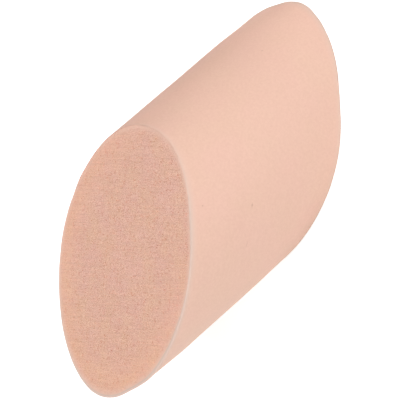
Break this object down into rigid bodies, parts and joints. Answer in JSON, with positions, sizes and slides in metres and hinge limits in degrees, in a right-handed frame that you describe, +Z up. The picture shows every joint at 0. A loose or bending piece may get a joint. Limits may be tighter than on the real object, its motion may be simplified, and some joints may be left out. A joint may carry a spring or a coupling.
{
  "type": "makeup sponge",
  "caption": "Cylindrical peach foam makeup sponge with parallel slanted ends, open-celled cut faces and a smooth skinned side.",
  "frame": {"origin": "On the resting cut face, straight below the middle of the block", "axes": "+Z up, square to both cut faces; +X the way the foam rod leans as it rises, which is also the longest way across; +Y completes the right-handed set"},
  "size_m": [0.0688, 0.035, 0.0274],
  "materials": {
    "open_foam": "matte",
    "foam_skin": "satin"
  },
  "bodies": {
    "root": {"foam_core": "open_foam", "side_skin": "foam_skin"}
  },
  "joints": []
}
